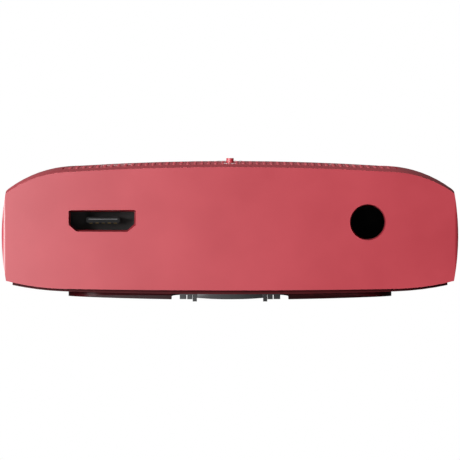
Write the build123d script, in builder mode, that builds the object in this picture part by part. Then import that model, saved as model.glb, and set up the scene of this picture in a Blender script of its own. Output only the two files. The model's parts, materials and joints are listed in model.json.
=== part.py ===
"""Clip-on digital audio player: pillow-shaped housing, front keypad and display, sprung belt clip.

The frame: +Z is the front face with the keys and the display, -Y is the end with the two sockets,
and +X is to the right when that end is looked at with the front face up. The origin is on the
centre line, level with the lowest point of the clip. Everything is in millimetres.
"""
import os
from math import asin, cos, degrees, radians, sin

from build123d import *

os.makedirs("parts", exist_ok=True)

# ------------------------------------------------------------------ driving dimensions
LENGTH = 68.0            # along Y
HALF_LENGTH = LENGTH / 2
HALF_WIDTH = 24.56       # widest point of the bulged sides
WIDEST_Z = 7.07          # height of that widest point
CORNER_X = 24.1          # crisp corners above and below the bulge
UPPER_CORNER_Z = 12.05
LOWER_CORNER_Z = 2.31
CROWN_Z = 14.94          # top of the front face, in its middle
SHOULDER_X = 17.85       # where the flat crown turns into the shoulder, above and below
SHOULDER_DROP = 0.6      # fall of the crown from the middle to the shoulder
FRONT_BOW = 0.1          # fall of the crown from the middle to each end
ROLL_DROP = 0.34         # further fall where the crown rolls down to the end faces
ROLL_LENGTH = 4.0        # length of that rolled band at each end
END_BOW = 1.0            # the end walls are this much further out in the middle
PLAN_RADIUS = 0.45       # vertical corners
SIDE_SPARE = 0.05        # the plan's straight sides stand this much outside the bulge
WALL = 1.5
FRONT_WALL = 1.3
HOUSING_RIM = (1.30, 1.46, 2.31)    # lower rim: in the middle, at the shoulders, at the corners
COVER_FACE = (0.885, 1.18, 2.02)    # outer surface of the back cover, at the same three places
COVER_INSET = 0.7
COVER_THICK = 1.3
FIT = 0.05               # clearance between fixed pieces that plug together
GAP = 0.2                # clearance round a piece that moves

PAD_Y = -12.0            # middle of the keypad
PAD_HALF = 18.0
PAD_RADIUS = 7.0
PLAY_RADIUS = 6.5
DIAGONAL_GAP = 0.2       # each key stands back this far from the keypad's diagonals
FLANGE_Z = 12.35         # underside of the keys' retaining flanges
FLANGE_THICK = 0.5
FLANGE_REACH = 0.8
KEY_FOOT_Z = 11.4        # ends of the plungers, above the domes
DISC_RADIUS = 4.0        # raised disc on the play button
DISC_HEIGHT = 0.2
NUB_TOP_Z = 15.4
NUB_RADIUS = 0.4

WINDOW_Y = 20.0          # middle of the display
WINDOW_SIZE = (36.0, 22.0)
WINDOW_OPENING = (33.0, 19.4)
WINDOW_RADIUS = 2.0
OPENING_RADIUS = 1.2
WINDOW_THICK = 0.95

BOARD_Z = 10.1           # underside of the main board
BOARD_THICK = 0.8
BOARD_TOP = BOARD_Z + BOARD_THICK
BOARD_SCREWS = ((-16.5, -24.5), (9.5, -29.0), (-13.5, 4.5), (13.5, 4.5))
FRAME_Z = 11.5           # underside of the frame that guides the keys

USB_X, USB_Z = -13.76, 8.77
USB_OPENING = (7.3, 2.38)
JACK_X, JACK_Z = 14.84, 8.63
JACK_HOLE_RADIUS = 1.95
JACK_BORE_RADIUS = 1.8
JACK_BORE_DEPTH = 11.5
USB_CHAMFER = (0.87, 0.75)
USB_CORNER_RADIUS = 0.22
HOLE_FACE_Y = 33.9       # the two openings have their stated size here, just outside the end wall
HOLE_DEPTH = 1.95
USB_DRAFT, JACK_DRAFT = 6.5, 4.2    # degrees
SOCKET_FACE_Y = -31.9    # front faces of the two sockets, behind the end wall
CARD_Z = 9.0
CARD_SLOT = (11.8, 1.5)

POCKET_HALF = 17.9       # pocket in the back cover that takes the clip
POCKET_Y = (-32.3, 25.6)
POCKET_STEP_Y = -8.0     # the pocket is deeper between here and the sockets' end
DEEP_FLOOR_Z, SHALLOW_FLOOR_Z = 4.4, 3.6
POCKET_WALL = 1.0
POCKET_RADIUS = 4.0

HINGE_Y, HINGE_Z = -25.5, 2.0
PIN_RADIUS = 0.6
EAR_X, EAR_THICK = 3.8, 0.45
BUSH_X = (4.05, 4.62)     # polished bushes between the ears and the leaf's knuckles
BUSH_RADIUS = 1.76
KNUCKLE_X = (4.7, 5.42)
KNUCKLE_RADIUS = 1.74
CLIP_HALF = 17.4
CLIP_Y = (-31.8, 25.0)
NOTCH_HALF, NOTCH_END_Y = 6.3, -19.5
CLIP_INNER_Z = 2.3

BOSS_X, BOSS_Y = 20.8, 26.5
BOSS_RADIUS = 1.8
BOSS_Z = (2.85, 12.2)    # from the cover's plug up into the crown
SCREW_RADIUS = 0.7
SCREW_DEPTH = 5.0
HEAD_Z, HEAD_THICK, HEAD_RADIUS = 1.6, 0.65, 1.25

VOLUME_Y = {"volume_up_button": 13.0, "volume_down_button": 4.0}
SIDE_KEY_Z = 8.1
SIDE_KEY_SIZE = (6.4, 3.0)
SWITCH_Y = 12.0
SLIDER_SIZE = (8.0, 3.2)
SLIDER_TRAVEL = 1.4

FAR = 40.0               # larger than any half size of the player
LOW_Z, HIGH_Z = -2.0, 18.0    # below and above everything


def save(builder, name):
    """Label a finished piece and write its STEP file."""
    builder.part.label = name
    export_step(builder.part, f"parts/{name}.step")


# ------------------------------------------------------------------ shapes shared by the shells
def plan_prism(inset):
    """Upright prism of the player's plan, pulled in by inset."""
    end_y = HALF_LENGTH - inset
    side_y = HALF_LENGTH - END_BOW - inset
    side_x = HALF_WIDTH + SIDE_SPARE - inset
    with BuildPart() as prism:
        with BuildSketch(Plane.XY.offset(LOW_Z)):
            with BuildLine():
                ThreePointArc((-side_x, -side_y), (0, -end_y), (side_x, -side_y))
                Line((side_x, -side_y), (side_x, side_y))
                ThreePointArc((side_x, side_y), (0, end_y), (-side_x, side_y))
                Line((-side_x, side_y), (-side_x, -side_y))
            make_face()
        extrude(amount=HIGH_Z - LOW_Z)
        fillet(prism.edges().filter_by(Axis.Z), PLAN_RADIUS)
    return prism.part


def side_prism(inset):
    """Bulged sides, run along the length, pulled in by inset."""
    corner_x = CORNER_X - inset
    bulge_x = HALF_WIDTH - inset
    with BuildPart() as prism:
        with BuildSketch(Plane.XZ.offset(-FAR)):
            with BuildLine():
                Polyline((-corner_x, LOWER_CORNER_Z), (-corner_x, LOW_Z), (corner_x, LOW_Z),
                         (corner_x, LOWER_CORNER_Z))
                ThreePointArc((corner_x, LOWER_CORNER_Z), (bulge_x, WIDEST_Z), (corner_x, UPPER_CORNER_Z))
                Polyline((corner_x, UPPER_CORNER_Z), (corner_x, HIGH_Z), (-corner_x, HIGH_Z),
                         (-corner_x, UPPER_CORNER_Z))
                ThreePointArc((-corner_x, UPPER_CORNER_Z), (-bulge_x, WIDEST_Z), (-corner_x, LOWER_CORNER_Z))
            make_face()
        extrude(amount=2 * FAR)
    return prism.part


def above(bottom, lift=0.0):
    """All above a bowed underside; bottom is its height in the middle, at the shoulders, at the sides."""
    middle, shoulder, corner = (height + lift for height in bottom)
    with BuildPart() as solid:
        with BuildSketch(Plane.XZ.offset(-FAR)):
            with BuildLine():
                belly = ThreePointArc((-SHOULDER_X, shoulder), (0, middle), (SHOULDER_X, shoulder))
                right = TangentArc((SHOULDER_X, shoulder), (CORNER_X, corner), tangent=belly % 1)
                left = TangentArc((-SHOULDER_X, shoulder), (-CORNER_X, corner), tangent=-(belly % 0))
                Polyline(right @ 1, (FAR, corner + 1), (FAR, HIGH_Z), (-FAR, HIGH_Z), (-FAR, corner + 1),
                         left @ 1)
            make_face()
        extrude(amount=2 * FAR)
    return solid.part


def bowed_solid(lift, bow_radius):
    """Everything under the crown's cross-section, moved up by lift and bowed along the length."""
    sweep_angle = asin(FAR / bow_radius)
    start = Plane(origin=(0, 0, -bow_radius), x_dir=(1, 0, 0),
                  z_dir=(0, -cos(sweep_angle), -sin(sweep_angle)))
    mid = bow_radius + CROWN_Z + lift
    shoulder = mid - SHOULDER_DROP
    corner = bow_radius + UPPER_CORNER_Z + lift
    base = bow_radius - 5
    with BuildPart() as solid:
        with BuildSketch(start):
            with BuildLine():
                crown = ThreePointArc((-SHOULDER_X, shoulder), (0, mid), (SHOULDER_X, shoulder))
                right = TangentArc((SHOULDER_X, shoulder), (CORNER_X, corner), tangent=crown % 1)
                left = TangentArc((-SHOULDER_X, shoulder), (-CORNER_X, corner), tangent=-(crown % 0))
                right_end = right @ 1 + (right % 1) * 4
                left_end = left @ 1 + (left % 1) * 4
                Polyline(right @ 1, right_end, (right_end.X, base), (left_end.X, base), left_end, left @ 1)
            make_face()
        revolve(axis=Axis((0, 0, -bow_radius), (-1, 0, 0)), revolution_arc=degrees(2 * sweep_angle))
    return solid.part


def crown_solid(drop):
    """Everything under the front face, which is bowed both ways, lowered by drop."""
    return bowed_solid(-drop, HALF_LENGTH ** 2 / (2 * FRONT_BOW))


def rolled_ends():
    """Limits the crown near both ends, where it rolls down to the end faces."""
    roll_start = HALF_LENGTH - ROLL_LENGTH
    flat_fall = FRONT_BOW * (1 - (roll_start / HALF_LENGTH) ** 2)
    roll_radius = (HALF_LENGTH ** 2 - roll_start ** 2) / (2 * (ROLL_DROP + flat_fall))
    start_fall = FRONT_BOW * (roll_start / HALF_LENGTH) ** 2
    return bowed_solid(roll_start ** 2 / (2 * roll_radius) - start_fall, roll_radius)


def rounded_box(size, radius, low_z, high_z, at=(0, 0)):
    """Upright rounded bar, used as a cutter."""
    with BuildPart() as bar:
        with BuildSketch(Plane.XY.offset(low_z)):
            with Locations(at):
                RectangleRounded(size[0], size[1], radius)
        extrude(amount=high_z - low_z)
    return bar.part


def usb_outline(half_w, half_h, chamfer_w, chamfer_h):
    """The Micro-B outline round the socket's axis: square above, chamfered below."""
    points = [(-half_w, half_h), (half_w, half_h), (half_w, -half_h + chamfer_h),
              (half_w - chamfer_w, -half_h), (-half_w + chamfer_w, -half_h),
              (-half_w, -half_h + chamfer_h)]
    return Polyline([(USB_X + x, USB_Z + z) for x, z in points], close=True)


outer_crown = crown_solid(0) & rolled_ends()
outer_form = plan_prism(0) & side_prism(0) & above(HOUSING_RIM) & outer_crown
inner_form = plan_prism(WALL) & side_prism(WALL) & crown_solid(FRONT_WALL)

# ------------------------------------------------------------------ main housing
with BuildPart() as main_housing:
    add(outer_form)
    add(inner_form, mode=Mode.SUBTRACT)
    # bosses that take the cover screws
    with BuildSketch(Plane.XY.offset(BOSS_Z[0])):
        with GridLocations(2 * BOSS_X, 2 * BOSS_Y, 2, 2):
            Circle(BOSS_RADIUS)
    extrude(amount=BOSS_Z[1] - BOSS_Z[0])
    with BuildSketch(Plane.XY.offset(BOSS_Z[0])):
        with GridLocations(2 * BOSS_X, 2 * BOSS_Y, 2, 2):
            Circle(SCREW_RADIUS)
    extrude(amount=SCREW_DEPTH, mode=Mode.SUBTRACT)
    # keypad opening, display seat and display opening
    with BuildSketch(Plane.XY.offset(FRAME_Z)):
        with Locations((0, PAD_Y)):
            RectangleRounded(2 * (PAD_HALF + GAP), 2 * (PAD_HALF + GAP), PAD_RADIUS + GAP)
        with Locations((0, WINDOW_Y)):
            RectangleRounded(*WINDOW_OPENING, OPENING_RADIUS)
    extrude(amount=HIGH_Z - FRAME_Z, mode=Mode.SUBTRACT)
    seat = rounded_box(WINDOW_SIZE, WINDOW_RADIUS, FRAME_Z, HIGH_Z, (0, WINDOW_Y)) - crown_solid(WINDOW_THICK)
    add(seat, mode=Mode.SUBTRACT)
    # socket openings in the near end, which narrow inwards, and the card slot in the far end
    with BuildSketch(Plane.XZ.offset(HOLE_FACE_Y)) as usb_hole:
        with BuildLine():
            usb_outline(USB_OPENING[0] / 2, USB_OPENING[1] / 2, USB_CHAMFER[0], USB_CHAMFER[1])
        make_face()
        fillet(usb_hole.vertices(), USB_CORNER_RADIUS)
    extrude(amount=-HOLE_DEPTH, taper=USB_DRAFT, mode=Mode.SUBTRACT)
    with BuildSketch(Plane.XZ.offset(HOLE_FACE_Y)):
        with Locations((JACK_X, JACK_Z)):
            Circle(JACK_HOLE_RADIUS)
    extrude(amount=-HOLE_DEPTH, taper=JACK_DRAFT, mode=Mode.SUBTRACT)
    with BuildSketch(Plane.XZ.offset(-HALF_LENGTH - 1)):
        with Locations((0, CARD_Z)):
            RectangleRounded(*CARD_SLOT, CARD_SLOT[1] / 3)
    extrude(amount=4, mode=Mode.SUBTRACT)
    # openings for the volume buttons in the left side
    with BuildSketch(Plane.YZ.offset(-HALF_WIDTH - 1)):
        for key_y in VOLUME_Y.values():
            with Locations((key_y, SIDE_KEY_Z)):
                RectangleRounded(SIDE_KEY_SIZE[0] + 0.3, SIDE_KEY_SIZE[1] + 0.3, 1.4)
    extrude(amount=4, mode=Mode.SUBTRACT)
    # recess and slot for the power slider in the right side
    with BuildSketch(Plane.YZ.offset(HALF_WIDTH - 0.95)):
        with Locations((SWITCH_Y, SIDE_KEY_Z)):
            RectangleRounded(12.0, 4.0, 1.5)
    extrude(amount=4, mode=Mode.SUBTRACT)
    with BuildSketch(Plane.YZ.offset(HALF_WIDTH - 4)):
        with Locations((SWITCH_Y, SIDE_KEY_Z)):
            RectangleRounded(5.2, 1.6, 0.4)
    extrude(amount=5, mode=Mode.SUBTRACT)
save(main_housing, "main_housing")

# ------------------------------------------------------------------ back cover with the clip pocket
cover_bottom = above(COVER_FACE)
with BuildPart() as back_cover:
    # thin flange under the housing's rim, and the plug that fits inside the housing
    add((plan_prism(COVER_INSET) & side_prism(COVER_INSET) & cover_bottom) - above(HOUSING_RIM))
    add((plan_prism(WALL + FIT) & side_prism(WALL + FIT) & cover_bottom) - above(COVER_FACE, COVER_THICK))
    # walls round the pocket, inside the player
    pocket_mid_y = sum(POCKET_Y) / 2
    pocket_length = POCKET_Y[1] - POCKET_Y[0]
    step_length = POCKET_STEP_Y - POCKET_Y[0]
    step_mid_y = (POCKET_Y[0] + POCKET_STEP_Y) / 2
    wall_width = 2 * (POCKET_HALF + POCKET_WALL)
    wall_base_z = COVER_FACE[1] + COVER_THICK / 4
    outer_pocket = rounded_box((wall_width, pocket_length + POCKET_WALL), POCKET_RADIUS + POCKET_WALL / 2,
                               wall_base_z, SHALLOW_FLOOR_Z + POCKET_WALL,
                               (0, pocket_mid_y + POCKET_WALL / 2))
    deep_box = rounded_box((wall_width, step_length + POCKET_WALL), POCKET_RADIUS + POCKET_WALL / 2,
                           wall_base_z, DEEP_FLOOR_Z + POCKET_WALL, (0, step_mid_y + POCKET_WALL / 2))
    add((outer_pocket + deep_box) & plan_prism(WALL + FIT))
    add(rounded_box((2 * POCKET_HALF, pocket_length), POCKET_RADIUS, LOW_Z, SHALLOW_FLOOR_Z,
                    (0, pocket_mid_y)), mode=Mode.SUBTRACT)
    add(rounded_box((2 * POCKET_HALF, step_length), POCKET_RADIUS, LOW_Z, DEEP_FLOOR_Z, (0, step_mid_y)),
        mode=Mode.SUBTRACT)
    # counterbored holes for the cover screws
    with BuildSketch(Plane.XY):
        with GridLocations(2 * BOSS_X, 2 * BOSS_Y, 2, 2):
            Circle(SCREW_RADIUS + 0.1)
    extrude(amount=BOSS_Z[0] + 1, mode=Mode.SUBTRACT)
    with BuildSketch(Plane.XY):
        with GridLocations(2 * BOSS_X, 2 * BOSS_Y, 2, 2):
            Circle(HEAD_RADIUS + 0.15)
    extrude(amount=HEAD_Z + HEAD_THICK, mode=Mode.SUBTRACT)
save(back_cover, "back_cover")

# ------------------------------------------------------------------ cover screws
CROSS_SLOT = (1.5, 0.32, 0.4)    # length, width and depth of the cross recess
with BuildPart() as cover_screws:
    with BuildSketch(Plane.XY.offset(HEAD_Z)):
        with GridLocations(2 * BOSS_X, 2 * BOSS_Y, 2, 2):
            Circle(HEAD_RADIUS)
    extrude(amount=HEAD_THICK)
    with BuildSketch(Plane.XY.offset(HEAD_Z)):
        with GridLocations(2 * BOSS_X, 2 * BOSS_Y, 2, 2):
            Circle(SCREW_RADIUS)
    extrude(amount=BOSS_Z[0] + SCREW_DEPTH - HEAD_Z - 0.6)
    with BuildSketch(Plane.XY.offset(HEAD_Z)):
        with GridLocations(2 * BOSS_X, 2 * BOSS_Y, 2, 2):
            Rectangle(CROSS_SLOT[0], CROSS_SLOT[1])
            Rectangle(CROSS_SLOT[1], CROSS_SLOT[0])
    extrude(amount=CROSS_SLOT[2], mode=Mode.SUBTRACT)
save(cover_screws, "cover_screws")

# ------------------------------------------------------------------ display
with BuildPart() as display_window:
    window_size = (WINDOW_SIZE[0] - 2 * FIT, WINDOW_SIZE[1] - 2 * FIT)
    window_bar = rounded_box(window_size, WINDOW_RADIUS - FIT, FRAME_Z, HIGH_Z, (0, WINDOW_Y))
    add(window_bar & crown_solid(0.03) & rolled_ends())
    add(crown_solid(WINDOW_THICK), mode=Mode.SUBTRACT)
save(display_window, "display_window")

PANEL_SIZE = (31.6, 18.8)
PANEL_Z, PANEL_THICK = 11.9, 1.4
TRAY_TOP_Z = 12.6
with BuildPart() as display_panel:
    with BuildSketch(Plane.XY.offset(PANEL_Z)):
        with Locations((0, WINDOW_Y)):
            Rectangle(*PANEL_SIZE)
    extrude(amount=PANEL_THICK)
save(display_panel, "display_panel")

with BuildPart() as display_tray:
    with BuildSketch(Plane.XY.offset(BOARD_TOP)):
        with Locations((0, WINDOW_Y)):
            RectangleRounded(34.8, 21.8, 1.0)
    extrude(amount=TRAY_TOP_Z - BOARD_TOP)
    with BuildSketch(Plane.XY.offset(PANEL_Z)):
        with Locations((0, WINDOW_Y)):
            Rectangle(PANEL_SIZE[0] + 2 * FIT, PANEL_SIZE[1] + 2 * FIT)
    extrude(amount=2, mode=Mode.SUBTRACT)
    # lightening pocket under the panel, and the slot for its ribbon
    with BuildSketch(Plane.XY.offset(BOARD_TOP)):
        with Locations((0, WINDOW_Y)):
            Rectangle(26, 13)
        with Locations((0, WINDOW_Y - 7.3)):
            Rectangle(10.4, 3.8)
    extrude(amount=2, mode=Mode.SUBTRACT)
save(display_tray, "display_tray")

RIBBON_WIDTH, RIBBON_THICK = 9.0, 0.15
with BuildPart() as display_flex:
    with BuildSketch(Plane.YZ.offset(-RIBBON_WIDTH / 2)):
        with BuildLine():
            ribbon = Polyline((WINDOW_Y - 5.5, BOARD_TOP + 0.5), (WINDOW_Y - 5.5, BOARD_TOP + 0.15),
                              (WINDOW_Y - 8.1, BOARD_TOP + 0.15), (WINDOW_Y - 8.1, PANEL_Z),
                              (WINDOW_Y - 8.1 - RIBBON_THICK, PANEL_Z),
                              (WINDOW_Y - 8.1 - RIBBON_THICK, BOARD_TOP),
                              (WINDOW_Y - 5.5 + RIBBON_THICK, BOARD_TOP),
                              (WINDOW_Y - 5.5 + RIBBON_THICK, BOARD_TOP + 0.5), close=True)
        make_face()
    extrude(amount=RIBBON_WIDTH)
save(display_flex, "display_flex")


# ------------------------------------------------------------------ keypad: four keys round a play button
def key_prism(inner_radius, half_side, corner_radius, low_z, high_z, turn):
    """One quarter of a rounded square ring, cut on the diagonals; turn is its direction in degrees."""
    reach = half_side + 4
    with BuildPart() as prism:
        with BuildSketch(Plane.XY.offset(low_z)):
            RectangleRounded(2 * half_side, 2 * half_side, corner_radius)
            Circle(inner_radius, mode=Mode.SUBTRACT)
        extrude(amount=high_z - low_z)
        with BuildSketch(Plane.XY.offset(low_z)):
            with BuildLine():
                Polyline((0, DIAGONAL_GAP), (reach, reach + DIAGONAL_GAP),
                         (-reach, reach + DIAGONAL_GAP), close=True)
            make_face()
        extrude(amount=high_z - low_z, mode=Mode.INTERSECT)
    return prism.part.moved(Location((0, PAD_Y, 0), (0, 0, turn)))


KEY_TURN = {"key_up": 0, "key_left": 90, "key_down": 180, "key_right": 270}
PLUNGER_RADIUS = 1.2
PLUNGER_OUT = 12.2
for key_name, turn in KEY_TURN.items():
    heading = radians(turn + 90)
    foot = (PLUNGER_OUT * cos(heading), PAD_Y + PLUNGER_OUT * sin(heading))
    with BuildPart() as key:
        add(key_prism(PLAY_RADIUS + GAP, PAD_HALF, PAD_RADIUS, FLANGE_Z + FLANGE_THICK, HIGH_Z,
                      turn) & outer_crown)
        add(key_prism(PLAY_RADIUS + 1.9, PAD_HALF + FLANGE_REACH, PAD_RADIUS + FLANGE_REACH,
                      FLANGE_Z, FLANGE_Z + FLANGE_THICK, turn))
        # relief over the play button's flange
        with BuildSketch(Plane.XY.offset(FLANGE_Z)):
            with Locations((0, PAD_Y)):
                Circle(PLAY_RADIUS + 1.5)
        extrude(amount=0.85, mode=Mode.SUBTRACT)
        with BuildSketch(Plane.XY.offset(KEY_FOOT_Z)):
            with Locations(foot):
                Circle(PLUNGER_RADIUS)
        extrude(amount=FLANGE_Z + FLANGE_THICK - KEY_FOOT_Z)
    save(key, key_name)

with BuildPart() as play_button:
    with BuildSketch(Plane.XY.offset(FLANGE_Z)):
        with Locations((0, PAD_Y)):
            Circle(PLAY_RADIUS)
    extrude(amount=5)
    add(outer_crown, mode=Mode.INTERSECT)
    with BuildSketch(Plane.XY.offset(FLANGE_Z)):
        with Locations((0, PAD_Y)):
            Circle(PLAY_RADIUS + 1.0)
    extrude(amount=FLANGE_THICK)
    with BuildSketch(Plane.XY.offset(KEY_FOOT_Z)):
        with Locations((0, PAD_Y)):
            Circle(PLUNGER_RADIUS)
    extrude(amount=1.2)
    # raised disc and tactile dot on its middle
    add(rounded_box((2 * DISC_RADIUS, 2 * DISC_RADIUS), DISC_RADIUS - 0.01, CROWN_Z - 1, HIGH_Z, (0, PAD_Y))
        & crown_solid(-DISC_HEIGHT))
    with BuildSketch(Plane.XY.offset(CROWN_Z - 1)):
        with Locations((0, PAD_Y)):
            Circle(NUB_RADIUS)
    extrude(amount=NUB_TOP_Z - CROWN_Z + 1)
save(play_button, "play_button")

with BuildPart() as mid_frame:
    with BuildSketch(Plane.XY.offset(FRAME_Z)):
        with Locations((0, -11.7)):
            RectangleRounded(42.0, 39.6, 1.0)
        with GridLocations(2 * BOSS_X, 2 * BOSS_Y, 2, 2):
            Circle(BOSS_RADIUS + FIT, mode=Mode.SUBTRACT)
        with Locations((0, PAD_Y)):
            Circle(PLUNGER_RADIUS + GAP, mode=Mode.SUBTRACT)
            with PolarLocations(PLUNGER_OUT, 4):
                Circle(PLUNGER_RADIUS + GAP, mode=Mode.SUBTRACT)
    extrude(amount=0.5)
    # stand-offs that the board is screwed to
    with BuildSketch(Plane.XY.offset(BOARD_TOP)):
        with Locations(*BOARD_SCREWS):
            Circle(1.5)
    extrude(amount=FRAME_Z - BOARD_TOP)
    with BuildSketch(Plane.XY.offset(BOARD_TOP)):
        with Locations(*BOARD_SCREWS):
            Circle(0.5)
    extrude(amount=1, mode=Mode.SUBTRACT)
save(mid_frame, "mid_frame")

with BuildPart() as key_domes:
    with BuildSketch(Plane.XY.offset(BOARD_TOP)):
        with Locations((0, PAD_Y)):
            Circle(2.5)
            with PolarLocations(PLUNGER_OUT, 4):
                Circle(2.0)
    extrude(amount=0.2)
save(key_domes, "key_domes")

# ------------------------------------------------------------------ electronics
with BuildPart() as main_board:
    with BuildSketch(Plane.XY.offset(BOARD_Z)):
        with Locations((0, -0.2)):
            Rectangle(37.0, 63.4)
        with Locations((JACK_X + 0.2, -25.9)):
            Rectangle(7.0, 13.2, mode=Mode.SUBTRACT)
        with Locations(*BOARD_SCREWS):
            Circle(0.6, mode=Mode.SUBTRACT)
    extrude(amount=BOARD_THICK)
save(main_board, "main_board")

with BuildPart() as board_screws:
    with BuildSketch(Plane.XY.offset(BOARD_Z - 0.5)):
        with Locations(*BOARD_SCREWS):
            Circle(1.1)
    extrude(amount=0.5)
    with BuildSketch(Plane.XY.offset(BOARD_Z - 0.5)):
        with Locations(*BOARD_SCREWS):
            Circle(0.5)
    extrude(amount=BOARD_TOP + 0.9 - BOARD_Z + 0.5)
save(board_screws, "board_screws")

with BuildPart() as board_chips:
    with BuildSketch(Plane.XY.offset(BOARD_Z - 0.9)):
        with Locations((-3.5, -8.0)):
            Rectangle(9.0, 9.0)
        with Locations((8.5, -8.0)):
            Rectangle(12.0 * 0.8, 12.0)
        with Locations((-4.0, 5.0)):
            Rectangle(4.0, 4.0)
        with Locations((8.0, 5.5), (8.0, 9.5)):
            Rectangle(3.2, 2.5)
    extrude(amount=0.9)
save(board_chips, "board_chips")

with BuildPart() as board_connectors:
    with BuildSketch(Plane.XY.offset(BOARD_Z - 0.9)):
        with Locations((-14.0, -8.0)):
            Rectangle(3.0, 4.5)
    extrude(amount=0.9)
save(board_connectors, "board_connectors")

with BuildPart() as battery:
    with BuildSketch(Plane.XY.offset(5.5)):
        with Locations((1.0, -1.6)):
            RectangleRounded(31.0, 34.0, 1.0)
    extrude(amount=3.5)
    fillet(battery.edges().filter_by(Axis.Y), 0.8)
save(battery, "battery")

with BuildPart() as battery_pad:
    with BuildSketch(Plane.XY.offset(DEEP_FLOOR_Z + POCKET_WALL)):
        with Locations((1.0, -13.2)):
            Rectangle(24.0, 8.0)
    extrude(amount=5.5 - DEEP_FLOOR_Z - POCKET_WALL)
save(battery_pad, "battery_pad")

with BuildPart() as battery_leads:
    for lead_y in (-9.0, -7.0):
        with BuildSketch(Plane.XZ.offset(-lead_y)):
            with Locations((-15.0, 8.8)):
                Circle(0.35)
        extrude(amount=0.6, both=True)
        with BuildSketch(Plane.XY.offset(8.2)):
            with Locations((-15.0, lead_y)):
                Circle(0.35)
        extrude(amount=1.0)
save(battery_leads, "battery_leads")


# ------------------------------------------------------------------ sockets

USB_DEPTH = 5.0
CONTACT_THICK = 0.06
with BuildPart() as usb_shell:
    with BuildSketch(Plane.XZ.offset(-SOCKET_FACE_Y)):
        with BuildLine():
            usb_outline(3.9, 1.25, 0.9, 0.8)
        make_face()
    extrude(amount=-USB_DEPTH)
    with BuildSketch(Plane.XZ.offset(-SOCKET_FACE_Y)):
        with BuildLine():
            usb_outline(3.65, 1.0, 0.8, 0.7)
        make_face()
    extrude(amount=-USB_DEPTH + 0.3, mode=Mode.SUBTRACT)
save(usb_shell, "usb_shell")

with BuildPart() as usb_tongue:
    with BuildSketch(Plane.XZ.offset(-SOCKET_FACE_Y - 0.5)):
        with Locations((USB_X + 0.1, USB_Z + 0.08)):
            RectangleRounded(3.6, 0.6, 0.12)
    extrude(amount=-USB_DEPTH + 0.8)
save(usb_tongue, "usb_tongue")

with BuildPart() as usb_contacts:
    with BuildSketch(Plane.XY.offset(USB_Z + 0.08 - 0.3 - CONTACT_THICK)):
        for contact in range(5):
            with Locations((USB_X + 0.1 + (contact - 2) * 0.65, SOCKET_FACE_Y + 2.7)):
                Rectangle(0.35, 3.2)
    extrude(amount=CONTACT_THICK)
save(usb_contacts, "usb_contacts")

with BuildPart() as jack_body:
    with BuildSketch(Plane.XZ.offset(-SOCKET_FACE_Y)):
        with Locations((JACK_X, JACK_Z)):
            RectangleRounded(6.0, 5.2, 0.4)
    extrude(amount=-JACK_BORE_DEPTH - 0.8)
    with BuildSketch(Plane.XZ.offset(-SOCKET_FACE_Y)):
        with Locations((JACK_X, JACK_Z)):
            Circle(JACK_BORE_RADIUS)
    extrude(amount=-JACK_BORE_DEPTH, mode=Mode.SUBTRACT)
save(jack_body, "jack_body")

with BuildPart() as jack_contacts:
    for contact_y in (SOCKET_FACE_Y + 3.5, SOCKET_FACE_Y + 6.5, SOCKET_FACE_Y + 9.5):
        with BuildSketch(Plane.XY.offset(JACK_Z - 2.6 - 0.25)):
            with Locations((JACK_X, contact_y)):
                Rectangle(3.4, 0.9)
        extrude(amount=0.25)
save(jack_contacts, "jack_contacts")

CARD_SIZE = (11.0, 15.0, 0.75)
CARD_END_Y = 33.4
with BuildPart() as card_socket:
    with BuildSketch(Plane.XZ.offset(-32.1)):
        with Locations((0, CARD_Z + 0.1)):
            Rectangle(13.6, 2.0)
    extrude(amount=15.4)
    with BuildSketch(Plane.XZ.offset(-32.1)):
        with Locations((0, CARD_Z)):
            Rectangle(11.3, 1.05)
    extrude(amount=14.9, mode=Mode.SUBTRACT)
save(card_socket, "card_socket")

with BuildPart() as memory_card:
    with BuildSketch(Plane.XY.offset(CARD_Z - CARD_SIZE[2] / 2)):
        with BuildLine():
            back_y = CARD_END_Y - CARD_SIZE[1]
            Polyline((-5.5, CARD_END_Y), (5.5, CARD_END_Y), (5.5, back_y + 6.5), (4.3, back_y + 5.4),
                     (4.3, back_y), (-5.5, back_y), close=True)
        make_face()
    extrude(amount=CARD_SIZE[2])
save(memory_card, "memory_card")


# ------------------------------------------------------------------ side controls
def side_bar(depth_range, key_y, size, radius):
    """Rounded bar across the left side wall, from depth_range[0] to depth_range[1] along X."""
    with BuildPart() as bar:
        with BuildSketch(Plane.YZ.offset(depth_range[0])):
            with Locations((key_y, SIDE_KEY_Z)):
                RectangleRounded(size[0], size[1], radius)
        extrude(amount=depth_range[1] - depth_range[0])
    return bar.part


side_skin = side_prism(0.05)
for button_name, key_y in VOLUME_Y.items():
    with BuildPart() as button:
        add(side_bar((-25, -22.4), key_y, SIDE_KEY_SIZE, 1.3) & side_skin)
        add(side_bar((-22.75, -22.3), key_y, (SIDE_KEY_SIZE[0] + 1.4, SIDE_KEY_SIZE[1] + 1.2), 0.8))
        add(side_bar((-22.3, -20.35), key_y, (1.8, 1.4), 0.4))
    save(button, button_name)

with BuildPart() as power_slider:
    recess_x = HALF_WIDTH - 0.95
    add(side_bar((recess_x + 0.05, recess_x + 0.85), SWITCH_Y, SLIDER_SIZE, 1.2))
    add(side_bar((20.6, recess_x + 0.2), SWITCH_Y, (2.0, 1.2), 0.3))
    add(side_bar((22.1, 22.7), SWITCH_Y, (5.6, 2.6), 0.4))
    # grip ribs cut into its face
    with BuildSketch(Plane.YZ.offset(recess_x + 0.6)):
        with Locations((SWITCH_Y, SIDE_KEY_Z)):
            with GridLocations(1.1, 1, 5, 1):
                Rectangle(0.5, 2.2)
    extrude(amount=1, mode=Mode.SUBTRACT)
save(power_slider, "power_slider")

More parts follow.
